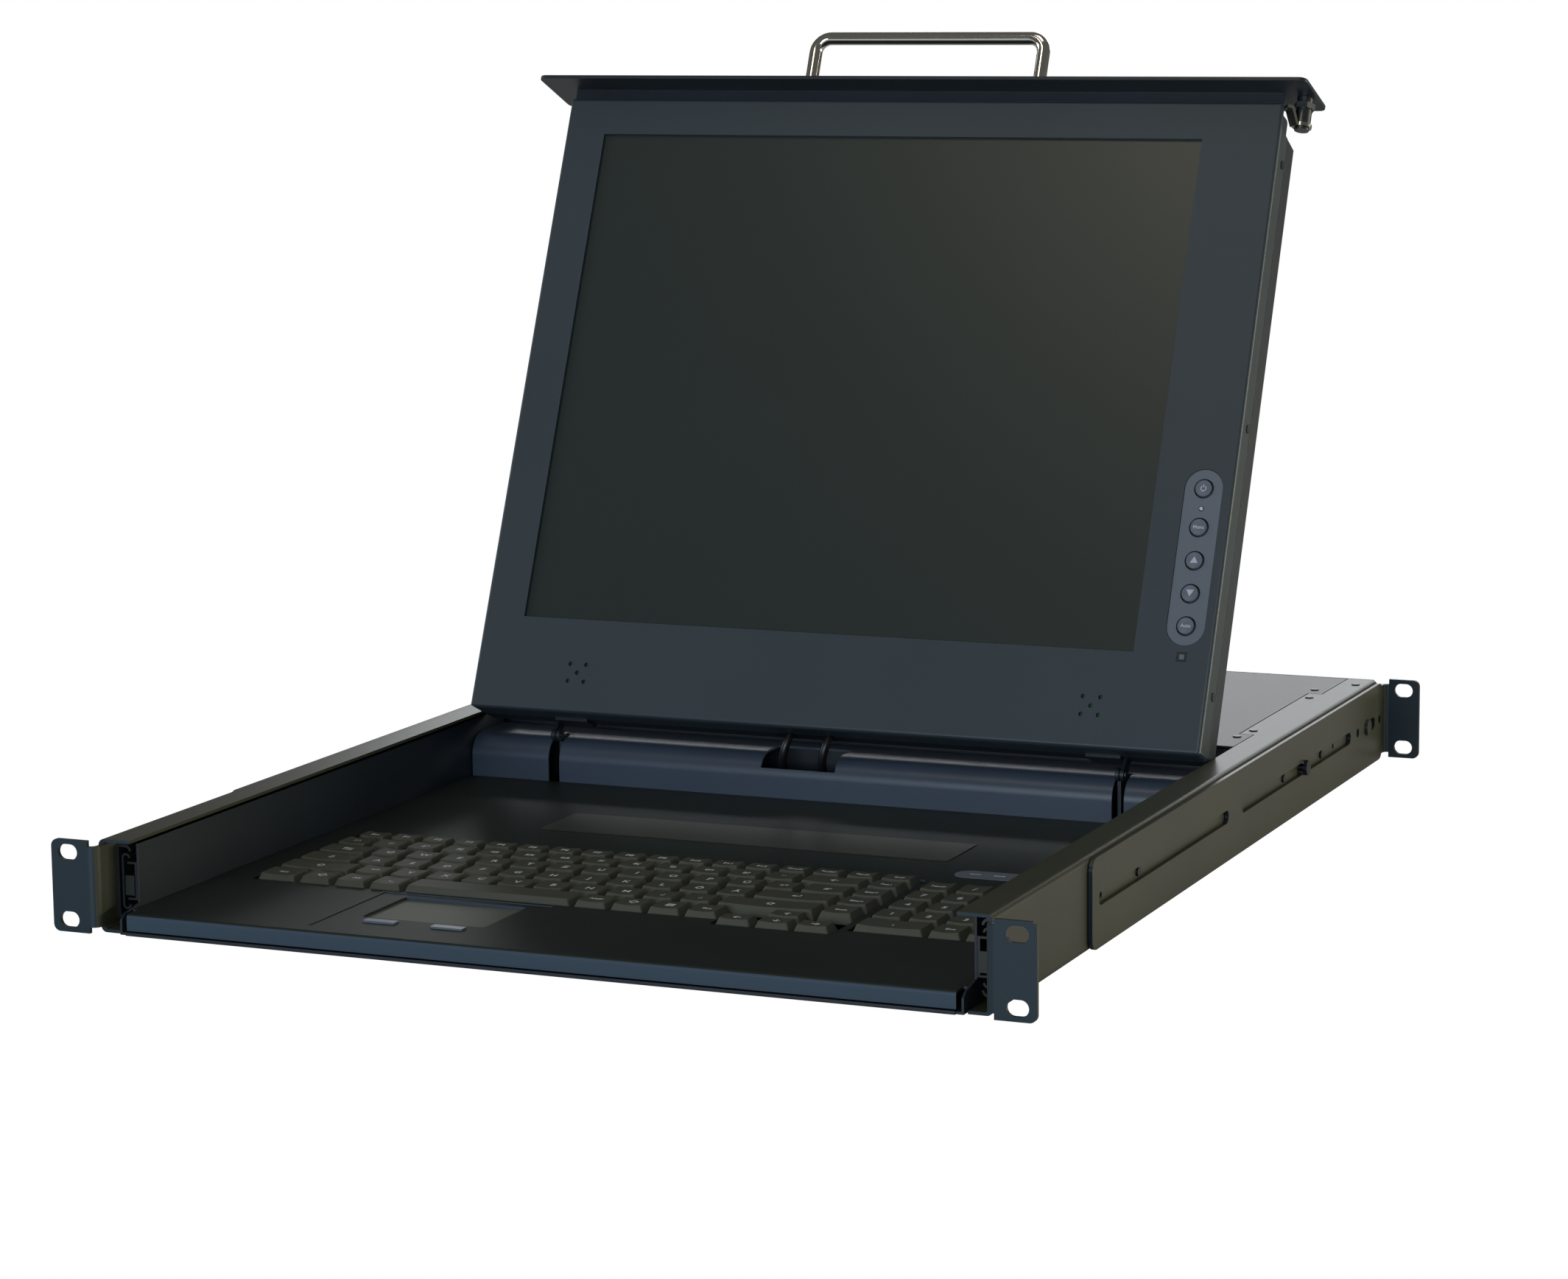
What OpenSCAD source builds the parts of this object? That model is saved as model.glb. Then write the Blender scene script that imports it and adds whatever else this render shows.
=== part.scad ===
// Rack console drawer with an eight-port KVM switch, 1U high, screen raised, drawer pushed in.
// Origin: centre of the front rack holes, in the front plane of the ears.
// +X to the right seen from the front, +Y to the rear, +Z up. Millimetres.

/* [Rack] */
// Distance between the left and right rack holes
hole_span = 465.1; // [465.1:0.1:465.2]
// Distance between the upper and lower rack holes
hole_rise = 31.75; // [31.7:0.05:31.8]
// Width over the ears
ear_span = 482.6; // [482:0.1:483]
// Height of one rack unit body
body_h = 44; // [43.6:0.1:44.4]
// Depth from the front ears to the rear ears
rack_depth = 622; // [618:1:640]

/* [Housing] */
// Half of the width over the outer rails
rail_x = 219.5; // [219:0.1:220]
// Thickness of the rail walls
rail_t = 2; // [1.5:0.1:2]
// Length of the housing
housing_l = 615; // [612:1:616]
// Front edge of the top cover
bay_y = 400.5; // [400:0.5:402]

/* [Drawer] */
// Half of the width over the tray walls
tray_x = 207.5; // [207:0.1:207.6]
// Height of the keyboard deck
deck_z = -11.7; // [-12:0.1:-11.5]
// Front face of the hinge beam
beam_y = 352.5; // [352:0.1:353]
// Distance of each hinge from the centre
hinge_x = 157.3; // [155:0.1:160]

/* [Screen] */
// How far the raised screen leans back from vertical, in degrees
lean = 23.5; // [20:0.5:24]
// Half of the screen's width
screen_x = 202.6; // [202:0.1:202.6]
// Height of the screen
screen_h = 344; // [343:0.5:344]
// Thickness of the screen
screen_t = 28; // [27:0.5:28]

/* [Hidden] */
$fn = 48;
screen_y = 344.2;
screen_z = 27.6;
axis_y = 358;
axis_z = 12.34;
axis_n = (axis_y - screen_y) * cos(lean) - (axis_z - screen_z) * sin(lean);
axis_v = (axis_y - screen_y) * sin(lean) + (axis_z - screen_z) * cos(lean);
half_h = body_h / 2;
sheet = 1.2;
wall_x = rail_x - rail_t;
bracket_x = rail_x + 0.3;
bracket_t = 2;
rear_face = housing_l;
key_top = -9;
key_h = 5.3;
bar_v = screen_h + 5.6;
bar_x = 217;
osd_x = 186.8;
button_v = [136.9, 116.6, 99.3, 82.2, 65.4];
lock_x = 210.4;
lock_n = 10;
lock_rest = 45;
bend_out = 4.5;
bend_in = 2.5;
port_pitch = 13.95;
port_x0 = 31.2;
slide_y0 = 18;
slide_l = 380;
ball_x = 212.8;
ball_z = 14.25;
rocker_x = 148.9;
rocker_y = 613.6;
rocker_z = 2.85;
rocker_tilt = 12;
row_y = [89.6, 108.8, 127.6, 146.3, 165, 182.6];
function_x = -184.5;
function_pitch = 17.44;
key_pitch = 18.95;

// Helpers

module block(x0, x1, y0, y1, z0, z1) {
    translate([x0, y0, z0])
        cube([x1 - x0, y1 - y0, z1 - z0]);
}

module both_sides() {
    children();
    mirror([1, 0, 0])
        children();
}

module above_and_below() {
    children();
    mirror([0, 0, 1])
        children();
}

// A cylinder along Y that starts at y0
module rod_y(x, y0, z, r, l) {
    translate([x, y0, z])
        rotate([-90, 0, 0])
            cylinder(r = r, h = l);
}

// A cylinder along X that starts at x0
module rod_x(x0, y, z, r, l) {
    translate([x0, y, z])
        rotate([0, 90, 0])
            cylinder(r = r, h = l);
}

// A side profile in Y and Z, extruded along X
module side_profile(x0, l) {
    translate([x0, 0, 0])
        rotate([90, 0, 90])
            linear_extrude(height = l)
                children();
}

// A front profile in X and Z, from y0 towards the rear
module front_profile(y0, l) {
    translate([0, y0 + l, 0])
        rotate([90, 0, 0])
            linear_extrude(height = l)
                children();
}

module rounded(x0, x1, y0, y1, r) {
    translate([x0 + r, y0])
        square([x1 - x0 - 2 * r, y1 - y0]);
    translate([x0, y0 + r])
        square([x1 - x0, y1 - y0 - 2 * r]);
    for (x = [x0 + r, x1 - r], y = [y0 + r, y1 - r])
        translate([x, y])
            circle(r = r);
}

module obround(cx, cy, l, w) {
    translate([cx - (l - w) / 2, cy - w / 2])
        square([l - w, w]);
    for (s = [-1, 1])
        translate([cx + s * (l - w) / 2, cy])
            circle(d = w);
}

// Local frame of the raised screen: X across, Y from front face to rear, Z up the screen
module at_screen() {
    translate([0, screen_y, screen_z])
        rotate([-lean, 0, 0])
            children();
}

// Housing

module ear_profile(inner_x) {
    outer = ear_span / 2;
    tall = 21.8;
    r = 3.5;
    difference() {
        union() {
            translate([inner_x, -tall])
                square([outer - inner_x - r, 2 * tall]);
            translate([inner_x, -tall + r])
                square([outer - inner_x, 2 * (tall - r)]);
            for (s = [-1, 1])
                translate([outer - r, s * (tall - r)])
                    circle(r = r);
        }
        for (s = [-1, 1])
            obround(hole_span / 2, s * hole_rise / 2, 10.2, 7.4);
    }
}

// Quarter bend from a side wall into an ear, seen from above
module ear_bend(x, y) {
    translate([x, y, -19])
        intersection() {
            difference() {
                cylinder(r = bend_out, h = 38);
                translate([0, 0, -1])
                    cylinder(r = bend_in, h = 40);
            }
            translate([-5, -5, 0])
                cube([5, 5, 38]);
        }
}

module outer_rail() {
    lip_x = 203.2;
    front_y = 6;
    bend_r = 3;
    inner_r = bend_r - rail_t;
    flange_l = housing_l - 1.6 - front_y;
    front_profile(0, rail_t)
        ear_profile(wall_x + bend_out);
    ear_bend(wall_x + bend_out, bend_out);
    block(wall_x, rail_x, bend_out, front_y, -19, 19);
    front_profile(front_y, flange_l)
        difference() {
            union() {
                translate([lip_x, -half_h])
                    square([rail_x - bend_r - lip_x, body_h]);
                translate([wall_x, bend_r - half_h])
                    square([rail_t, body_h - 2 * bend_r]);
                for (s = [-1, 1])
                    translate([rail_x - bend_r, s * (half_h - bend_r)])
                        circle(r = bend_r);
            }
            translate([lip_x - 1, 1.5 - half_h])
                square([rail_x - bend_r - lip_x + 1, body_h - 3]);
            for (s = [-1, 1])
                translate([rail_x - bend_r, s * (half_h - bend_r)])
                    circle(r = inner_r);
            translate([rail_x - bend_r, bend_r - half_h])
                square([inner_r, body_h - 2 * bend_r]);
            translate([lip_x - 1, -half_h - 1])
                square([208 - lip_x + 1, 4]);
        }
    block(wall_x, rail_x, front_y + flange_l, housing_l, -19, 19);
    block(195.6, lip_x, 435.3, 560.7, half_h - 1.5, half_h);
    block(lip_x, 208, bay_y, front_y + flange_l, -half_h, 1.5 - half_h);
}

module left_outer_rail() {
    color([0.22, 0.23, 0.2])
        mirror([1, 0, 0])
            difference() {
                outer_rail();
                for (y = [145, 525])
                    rod_x(wall_x - 1, y, 1, 1.5, 4);
            }
}

module right_outer_rail() {
    color([0.22, 0.23, 0.2])
        difference() {
            outer_rail();
            for (y = [145, 525])
                rod_x(wall_x - 1, y, 1, 1.5, 4);
            block(wall_x - 1, rail_x + 1, 5.4, 10, -6.5, 7.9);
        }
}

module bottom_pan() {
    color([0.2, 0.22, 0.24])
        block(-203, 203, bay_y, rear_face - 1.5, -half_h, sheet - half_h);
}

module top_cover() {
    top = half_h;
    color([0.45, 0.47, 0.46]) {
        block(-202.7, 202.7, bay_y, 435, top - sheet, top);
        block(-195, 195, 435, 561, top - sheet, top);
        block(-202.7, 202.7, 561, rear_face - 1.5, top - sheet, top);
    }
}

module divider_wall() {
    color([0.2, 0.22, 0.24])
        difference() {
            front_profile(401, sheet)
                rounded(-217.3, 217.3, -20.4, 20.4, 2.2);
            translate([0, 400, 0])
                rotate([-90, 0, 0])
                    cylinder(r = 8, h = 4);
        }
}

module rear_panel() {
    color([0.18, 0.24, 0.34])
        difference() {
            block(-217.3, 217.3, rear_face - 1.4, rear_face, -half_h, half_h);
            block(167, 195.2, 600, 620, -7.5, 12.6);
            block(143.8, 154, 600, 620, -7.4, 13.1);
            block(119.3, 136.7, 600, 620, 3.7, 18.2);
            block(89.6, 109.2, 600, 620, 5.2, 15.1);
            block(30.7, 71.1, 600, 620, 5.2, 15.1);
            block(54, 73.4, 600, 620, -13.5, -3.6);
            for (x = [93.7, 116.5])
                rod_y(x, 600, -8.05, 6.2, 20);
            block(-75.5, 40.1, 600, 620, -15.15, 0.45);
        }
}

module switch_board() {
    color([0.05, 0.35, 0.2]) {
        block(-120, 137, 445, 612, -18.6, -17);
        for (x = [-100 : 28 : 40])
            block(x, x + 16, 500, 516, -17, -15);
        block(60, 88, 470, 498, -17, -13);
        for (x = [-110, 125], y = [455, 595])
            translate([x, y, -20.8])
                cylinder(r = 3, h = 2.2);
    }
}

module power_supply() {
    color([0.7, 0.72, 0.73]) {
        block(142, 210, 440, 560, -20.5, -19);
        block(145, 175, 450, 548, -19, 12);
        block(180, 205, 455, 500, -19, 6);
        for (y = [515, 540])
            translate([192, y, -19])
                cylinder(r = 10, h = 28);
    }
}

module power_inlet() {
    color([0.06, 0.06, 0.07])
        difference() {
            union() {
                block(164.8, 197.3, rear_face, rear_face + 2.2, -9.5, 14.6);
                for (x = [160.9, 202.2])
                    rod_y(x, rear_face, 2.2, 5, 2.2);
                block(160.9, 202.2, rear_face, rear_face + 2.2, -2.8, 7.2);
                block(167.2, 195, 592, rear_face, -7.3, 12.4);
            }
            block(169.1, 193.1, 594, rear_face + 3, -5.3, 10.4);
            for (x = [160.9, 202.2])
                rod_y(x, rear_face - 1, 2.2, 1.7, 5);
        }
}

module connector_pins() {
    color([0.8, 0.8, 0.78]) {
        for (p = [[174.1, 1], [188.1, 1], [181.1, 6.2]])
            block(p[0] - 1, p[0] + 1, 594, 611, p[1] - 2, p[1] + 2);
        for (i = [0 : 4])
            rod_y(99.4 + (i - 2) * 2.77, 611, 11.57, 0.5, 7);
        for (i = [0 : 3])
            rod_y(99.4 + (i - 1.5) * 2.77, 611, 8.73, 0.5, 7);
        for (i = [0 : 12])
            rod_y(50.9 + (i - 6) * 2.77, 611, 11.57, 0.5, 7);
        for (i = [0 : 11])
            rod_y(50.9 + (i - 5.5) * 2.77, 611, 8.73, 0.5, 7);
    }
}

module power_switch_frame() {
    color([0.05, 0.05, 0.06])
        difference() {
            union() {
                block(142.6, 155.2, rear_face, rear_face + 1.6, -8.6, 14.3);
                block(144, 153.8, 600, rear_face, -7.2, 12.9);
            }
            block(145.6, 152.2, 602, rear_face + 3, -5.8, 11.5);
            rod_x(rocker_x - 4.3, rocker_y, rocker_z, 1.05, 8.6);
        }
}

module power_rocker() {
    color([0.08, 0.08, 0.09])
        translate([rocker_x, rocker_y, rocker_z])
            rotate([rocker_tilt, 0, 0]) {
                block(-2.8, 2.8, -3, 1.6, -7.4, 7.4);
                rod_x(-3.8, 0, 0, 1, 7.6);
            }
}

// One modular socket, opening to the rear, seen as a cut
module socket_cut(x, z) {
    block(x - 5.9, x + 5.9, rear_face - 12, rear_face + 3, z - 3.6, z + 3.6);
    block(x - 3, x + 3, rear_face - 12, rear_face + 3, z + 3.5, z + 5.4);
}

module lan_port() {
    color([0.75, 0.76, 0.78])
        difference() {
            block(119.5, 136.5, 598, rear_face + 0.6, 3.9, 18);
            socket_cut(128, 9.8);
        }
}

module d_shell(w, h) {
    hull() {
        for (s = [-1, 1]) {
            translate([s * (w / 2 - 2.6), h / 2 - 2.6])
                circle(r = 2.6, $fn = 32);
            translate([s * (w / 2 - 4), -(h / 2 - 2.6)])
                circle(r = 2.6, $fn = 32);
        }
    }
}

module d_connector(x, z, w, screw) {
    front_profile(rear_face, 0.8)
        translate([x, z])
            rounded(-screw / 2 - 3.2, screw / 2 + 3.2, -6.2, 6.2, 1.5);
    front_profile(rear_face + 0.8, 5)
        translate([x, z])
            difference() {
                d_shell(w, 8.3);
                d_shell(w - 1, 7.3);
            }
    front_profile(606, rear_face - 606)
        translate([x, z])
            square([w + 1, 9], center = true);
    for (s = [-1, 1])
        translate([x + s * screw / 2, rear_face + 0.8, z])
            rotate([-90, 0, 0])
                cylinder(d = 5.4, h = 4.6, $fn = 6);
}

module d_sub_connectors() {
    color([0.72, 0.73, 0.75]) {
        difference() {
            union() {
                d_connector(99.4, 10.15, 16.9, 24.99);
                d_connector(50.9, 10.15, 38.9, 47.04);
            }
            for (r = [0, 1], i = [0 : 4])
                rod_y(99.4 + (i - 2 + r * 0.5) * 2.77, 605, 11.57 - r * 2.84, 0.51, 15);
            for (r = [0, 1], i = [0 : 12])
                rod_y(50.9 + (i - 6 + r * 0.5) * 2.77, 605, 11.57 - r * 2.84, 0.51, 15);
        }
        difference() {
            d_connector(63.7, -8.55, 16.9, 24.99);
            for (r = [-1, 0, 1], i = [-2 : 2])
                rod_y(63.7 + i * 2.29, 610, -8.55 + r * 1.98, 0.5, 8);
        }
    }
}

module ps2_ports() {
    for (p = [[116.5, [0, 0.5, 0.4]], [93.7, [0.33, 0.29, 0.6]]])
        color(p[1])
            difference() {
                rod_y(p[0], 604, -8.05, 6.1, 12.2);
                rod_y(p[0], 608, -8.05, 4.6, 9);
            }
}

module console_label_plate() {
    color([0.65, 0.69, 0.8])
        front_profile(rear_face, 0.3)
            difference() {
                rounded(44.1, 126.9, -20.65, -0.85, 2);
                for (x = [93.7, 116.5])
                    translate([x, -8.05])
                        circle(r = 6.4);
                translate([63.7 - 16, -14.95])
                    square([32, 12.8]);
            }
}

module port_block_shield() {
    color([0.76, 0.77, 0.79])
        difference() {
            block(-75.4, 40, 598, rear_face + 0.6, -15.05, 0.35);
            for (i = [0 : 7])
                socket_cut(port_x0 - i * port_pitch, -8.4);
        }
}

module port_inserts() {
    color([0.1, 0.1, 0.1]) {
        for (i = [0 : 7])
            socket_liner(port_x0 - i * port_pitch, -8.4);
        socket_liner(128, 9.8);
    }
}

// Black tongue at the back of a socket with its eight contacts
module socket_liner(x, z) {
    block(x - 5.7, x + 5.7, rear_face - 12, rear_face - 10.8, z - 3.4, z + 3.4);
    for (i = [0 : 7])
        block(x - 4 + i * 1.02, x - 3.5 + i * 1.02, rear_face - 10.8, rear_face - 3, z - 3.5, z - 2.6);
}

module housing_screws() {
    color([0.3, 0.3, 0.3]) {
        for (s = [-1, 1], p = [[196.5, 427], [199.4, 446], [199.4, 549], [195.5, 573], [212, 596]])
            translate([s * p[0], p[1], half_h])
                cylinder(r = 2.2, h = 0.5);
        for (s = [0, 1])
            mirror([s, 0, 0]) {
                for (y = [197, 432, 501])
                    rod_x(rail_x, y, 1, 2.2, 1);
                rod_x(rail_x, 463, 1, 2, 2.7);
                rod_x(rail_x + 2.7, 463, 1, 4, 2);
            }
        for (x = [160.9, 202.2]) {
            rod_y(x, rear_face + 2.2, 2.2, 3, 1.2);
            rod_y(x, rear_face, 2.2, 1.6, 2.2);
        }
        rod_y(-31.4, rear_face, 15.05, 3.2, 1.6);
        rod_y(207, rear_face, 13.85, 2.6, 0.4);
    }
}

// Slides

// Half of a round ball track in X and Z, open to the rail or to the drawer
module track(x, z, inner, outer, side) {
    translate([x, z])
        intersection() {
            difference() {
                circle(r = outer);
                circle(r = inner);
            }
            translate([-outer - 1, 0])
                square([(1 + side) * (outer + 1), outer + 1]);
        }
}

module outer_slide() {
    block(wall_x - 1.2, wall_x, slide_y0, slide_y0 + slide_l, -17.2, 17.2);
    above_and_below() {
        block(ball_x, wall_x - 1.2, slide_y0, slide_y0 + slide_l, 16, 17.2);
        front_profile(slide_y0, slide_l)
            track(ball_x, ball_z, 1.75, 2.95, 0);
    }
}

module outer_slide_members() {
    color([0.25, 0.27, 0.28])
        both_sides()
            outer_slide();
}

module middle_slide() {
    block(213.9, 214.9, slide_y0, slide_y0 + slide_l, -11, 11);
    above_and_below() {
        front_profile(slide_y0, slide_l)
            track(212.65, 11, 1.25, 2.25, 1);
        for (y = [slide_y0 + 20 : 48 : slide_y0 + slide_l - 20])
            translate([ball_x, y, ball_z])
                sphere(r = 1.3);
    }
}

module left_middle_slide() {
    color([0.6, 0.62, 0.63])
        mirror([1, 0, 0])
            middle_slide();
}

module right_middle_slide() {
    color([0.6, 0.62, 0.63])
        middle_slide();
}

module inner_slide_members() {
    color([0.5, 0.52, 0.53])
        both_sides() {
            block(tray_x, tray_x + sheet, slide_y0 + 1, slide_y0 + slide_l - 10, -9, 9);
            above_and_below()
                block(tray_x + sheet, 212.6, slide_y0 + 1, slide_y0 + slide_l - 10, 8, 9);
        }
}

module slide_bumpers() {
    color([0.4, 0.43, 0.4])
        both_sides()
            block(tray_x + sheet, 213.4, slide_y0 + 0.2, slide_y0 + 14, -6.7, 2.7);
}

// Rear brackets

module rear_bracket() {
    difference() {
        union() {
            side_profile(bracket_x, bracket_t)
                rounded(127, rack_depth - 6, -21.5, 20.8, 6);
            block(bracket_x, bracket_x + bracket_t, 300, rack_depth - bend_out, -19, 19);
        }
        side_profile(bracket_x - 1, bracket_t + 2) {
            obround(233.8, 1, 195.5, 6.5);
            obround(453, 1, 198, 6.5);
            obround(589.5, 1, 22, 6.5);
            for (y = [566, 610])
                translate([y, 1])
                    circle(r = 2.4);
        }
    }
    rod_x(bracket_x + bracket_t, 584, 1, 4.4, 1.6);
    translate([0, 2 * (rack_depth - bend_out), 0])
        mirror([0, 1, 0])
            ear_bend(bracket_x + bend_out, rack_depth - bend_out);
    front_profile(rack_depth - bracket_t, bracket_t)
        ear_profile(bracket_x + bend_out);
}

module left_rear_bracket() {
    color([0.31, 0.31, 0.26])
        mirror([1, 0, 0])
            rear_bracket();
}

module right_rear_bracket() {
    color([0.31, 0.31, 0.26])
        rear_bracket();
}

// Drawer

module drawer_tray() {
    color([0.13, 0.15, 0.17]) {
        block(-tray_x, tray_x, 2.8, 392, -21.7, -20.5);
        block(-203.9, 203.9, 1.6, 2.8, -21.7, -20.1);
        both_sides()
            side_profile(tray_x - sheet, sheet)
                polygon([
                    [2.8, -20.5], [392, -20.5], [392, 18], [18.7, 18], [18.7, -9.7], [6, -12.2],
                    [2.8, -14.6]
                ]);
        block(sheet - tray_x, tray_x - sheet, 390.8, 392, -20.5, 10);
    }
}

module key_well(x0, x1, y0, y1) {
    translate([0, 0, deck_z - 2])
        linear_extrude(height = 4)
            rounded(x0, x1, y0, y1, 2);
}

module keyboard_deck() {
    under = deck_z - sheet;
    color([0.13, 0.15, 0.15])
        difference() {
            union() {
                side_profile(-203.9, 407.8) {
                    translate([4.9, under])
                        square([7.1, sheet]);
                    translate([2.9, -19.6])
                        square([sheet, 5.9]);
                    intersection() {
                        translate([4.9, deck_z - 2])
                            difference() {
                                circle(r = 2);
                                circle(r = 0.8);
                            }
                        translate([2.9, deck_z - 2])
                            square([2, 2]);
                    }
                }
                block(-205.9, 205.9, 12, beam_y - 0.1, under, deck_z);
                both_sides()
                    block(204.7, 205.9, 12, beam_y - 0.1, -20.5, under);
                block(-114.6, -113.2, 14, 84, deck_z, deck_z + 0.4);
                block(-112, -26, 84.6, 86, deck_z, deck_z + 0.4);
                translate([-112, 84, deck_z])
                    intersection() {
                        difference() {
                            cylinder(r = 2.6, h = 0.4);
                            translate([0, 0, -1])
                                cylinder(r = 1.2, h = 3);
                        }
                        translate([-3, 0, 0])
                            cube([3, 3, 1]);
                    }
            }
            key_well(-188, 114.5, 89, 198.5);
            key_well(55, 114.5, 80, 93);
            key_well(118.5, 192.5, 89, 189.5);
            key_well(-99.8, -37, 37, 80);
            key_well(-94.6, -77.4, 27, 33);
            key_well(-60.1, -42.9, 27, 33);
        }
}

// Beam outline in Y and Z, thickness t inside the outer skin
module beam_outline(t) {
    r = 12 - t;
    translate([364.5, -20.5 - t])
        square([23.5, 31.5]);
    translate([beam_y + t, -20.5 - t])
        square([r, 19.5 + t]);
    translate([364.5, -1])
        circle(r = r);
}

module hinge_beam() {
    color([0.2, 0.25, 0.33])
        difference() {
            side_profile(-205.7, 411.4)
                difference() {
                    beam_outline(0);
                    beam_outline(sheet);
                }
            for (s = [-1, 1])
                block(s * hinge_x - 3.2, s * hinge_x + 3.2, beam_y - 1, 369, -21, 12);
            block(-38, 3.5, beam_y - 1, 378, 3.5, 12);
        }
}

module hinge_brackets() {
    color([0.12, 0.14, 0.16])
        both_sides() {
            difference() {
                side_profile(155, 1.9) {
                    translate([359, -20.5])
                        square([8, 30]);
                    translate([axis_y, axis_z - 3.4])
                        square([9, 3.4]);
                    translate([axis_y, axis_z])
                        circle(r = 3.4);
                }
                rod_x(150, axis_y, axis_z, 1.5, 12);
            }
            block(146, 155, 359, 367, -20.5, -19.3);
        }
}

module hinge_pins() {
    color([0.7, 0.7, 0.7])
        both_sides() {
            rod_x(154.4, axis_y, axis_z, 1.5, 5.2);
            rod_x(159.6, axis_y, axis_z, 2.4, 0.7);
        }
}

module keyboard_base() {
    color([0.1, 0.1, 0.1])
        block(-190, 194, 78, 201, -20.5, -17);
}

module touchpad() {
    color([0.45, 0.46, 0.43])
        block(-101, -36, 36, 81, -14.6, deck_z - sheet);
}

module pressed_plate(x0, x1, y0, y1, r, t) {
    translate([0, 0, deck_z])
        linear_extrude(height = t)
            rounded(x0, x1, y0, y1, r);
}

module lock_led_strip() {
    color([0.4, 0.42, 0.42])
        pressed_plate(122.5, 187, 209, 224, 7, 0.4);
}

module deck_label_plate() {
    color([0.2, 0.2, 0.18])
        pressed_plate(-109.5, 109.5, 239.5, 280.5, 2, 0.4);
}

module left_touchpad_button() {
    color([0.2, 0.22, 0.25])
        block(-94, -78, 27.6, 32.4, -17, -10.9);
}

module right_touchpad_button() {
    color([0.2, 0.22, 0.25])
        block(-59.5, -43.5, 27.6, 32.4, -17, -10.9);
}

// Keys

// One tapered key cap that fills x0..x1 and y0..y1
module key(x0, x1, y0, y1) {
    gap = 0.45;
    taper = 2.2;
    foot = key_top - key_h;
    intersection() {
        front_profile(y0, y1 - y0)
            polygon([
                [x0 + gap, foot], [x1 - gap, foot],
                [x1 - gap - taper, key_top], [x0 + gap + taper, key_top]
            ]);
        side_profile(x0, x1 - x0)
            polygon([
                [y0 + gap, foot], [y1 - gap, foot],
                [y1 - gap - taper, key_top], [y0 + gap + taper, key_top]
            ]);
    }
}

module key_run(x0, pitch, n, y0, y1) {
    for (i = [0 : n - 1])
        key(x0 + i * pitch, x0 + (i + 1) * pitch, y0, y1);
}

module top_row_keys() {
    color([0.2, 0.2, 0.17]) {
        key_run(function_x, function_pitch, 16, row_y[5], 197.4);
        key(-187, -168.1, row_y[4], row_y[5]);
        key_run(-168.1, 19.1, 12, row_y[4], row_y[5]);
    }
}

module letter_keys() {
    color([0.2, 0.2, 0.17]) {
        key_run(-158.4, key_pitch, 12, row_y[3], row_y[4]);
        key_run(-155.4, key_pitch, 11, row_y[2], row_y[3]);
        key_run(-146.3, key_pitch, 10, row_y[1], row_y[2]);
        key(-127, -108, row_y[0], row_y[1]);
    }
}

module modifier_keys() {
    color([0.2, 0.2, 0.17]) {
        key(61.1, 94.6, row_y[4], row_y[5]);
        key(-187, -158.4, row_y[3], row_y[4]);
        key(69, 94.6, row_y[3], row_y[4]);
        key(-187, -155.4, row_y[2], row_y[3]);
        key(53.05, 94.6, row_y[2], row_y[3]);
        key(-187, -146.3, row_y[1], row_y[2]);
        key(43.2, 94.6, row_y[1], row_y[2]);
        key(-187, -164.6, row_y[0], row_y[1]);
        key_run(-164.6, 18.8, 2, row_y[0], row_y[1]);
        key_run(-19.5, 18.6, 4, row_y[0], row_y[1]);
    }
}

module space_bar() {
    color([0.2, 0.2, 0.17])
        key(-108, -19.5, row_y[0], row_y[1]);
}

module navigation_keys() {
    color([0.2, 0.2, 0.17]) {
        key(94.6, 113.6, row_y[5], 197.4);
        for (i = [1 : 4])
            key(94.6, 113.6, row_y[i], row_y[i + 1]);
        key(74.8, 93.8, 95, row_y[1]);
        key_run(56, 19.2, 3, 80.8, 95);
    }
}

module numpad_keys() {
    x0 = 119.5;
    p = 18;
    rows = [89.8, 109.4, 129.1, 148.8, 168.6, 188.6];
    color([0.2, 0.2, 0.17]) {
        key_run(x0, p, 4, rows[4], rows[5]);
        key_run(x0, p, 3, rows[3], rows[4]);
        key_run(x0, p, 3, rows[2], rows[3]);
        key_run(x0, p, 3, rows[1], rows[2]);
        key(x0, x0 + 2 * p, rows[0], rows[1]);
        key(x0 + 2 * p, x0 + 3 * p, rows[0], rows[1]);
        key(x0 + 3 * p, x0 + 4 * p, rows[2], rows[4]);
        key(x0 + 3 * p, x0 + 4 * p, rows[0], rows[2]);
    }
}

// Screen, all in its local frame: X across, Y to its rear, Z up

// Recess for the lock in the upper right corner, grown by t
module lock_recess(t) {
    x0 = 197;
    side_profile(x0 - t, 12)
        polygon([
            [1.6, screen_h - 14 - t], [10, screen_h - 14.8 - t], [screen_t + 2, screen_h - 17 - t],
            [screen_t + 2, screen_h + 2], [1.6, screen_h + 2]
        ]);
}

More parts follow.
